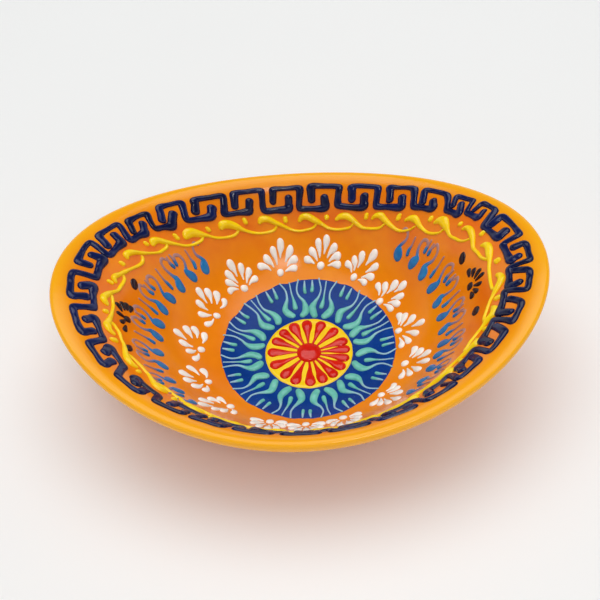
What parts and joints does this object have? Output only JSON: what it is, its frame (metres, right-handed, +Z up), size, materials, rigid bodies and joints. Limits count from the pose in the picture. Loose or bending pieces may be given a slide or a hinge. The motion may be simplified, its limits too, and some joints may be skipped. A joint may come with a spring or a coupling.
{
  "type": "hand-painted oval bowl",
  "caption": "Oval glazed earthenware bowl with a saddle rim and a low foot ring, its inside covered with raised enamel ornament.",
  "frame": {"origin": "middle of the bowl in plan, on the plane the foot ring stands on", "axes": "+X along the length of the oval, +Y along its width, +Z up"},
  "size_m": [0.1598, 0.1166, 0.0518],
  "materials": {
    "clay": "unglazed fired clay",
    "orange_glaze": "gloss orange glaze",
    "cobalt": "gloss cobalt glaze",
    "yellow_enamel": "gloss enamel",
    "red_enamel": "gloss enamel",
    "turquoise_enamel": "gloss enamel",
    "navy_slip": "gloss raised slip",
    "yellow_slip": "gloss raised slip",
    "white_enamel": "gloss enamel",
    "blue_enamel": "gloss enamel",
    "black_enamel": "gloss enamel"
  },
  "bodies": {
    "root": {"clay_body": "clay", "orange_glaze": "orange_glaze", "cobalt_ground": "cobalt", "sun_disc": "yellow_enamel", "red_petals": "red_enamel", "red_boss": "red_enamel", "turquoise_pairs": "turquoise_enamel", "turquoise_darts": "turquoise_enamel", "turquoise_edge_strokes": "turquoise_enamel", "greek_key": "navy_slip", "yellow_scroll": "yellow_slip", "yellow_dots": "yellow_slip", "white_drops": "white_enamel", "white_dots": "white_enamel", "blue_strokes_right": "blue_enamel", "blue_strokes_left": "blue_enamel", "black_fan_right": "black_enamel", "black_fan_left": "black_enamel"}
  },
  "joints": []
}
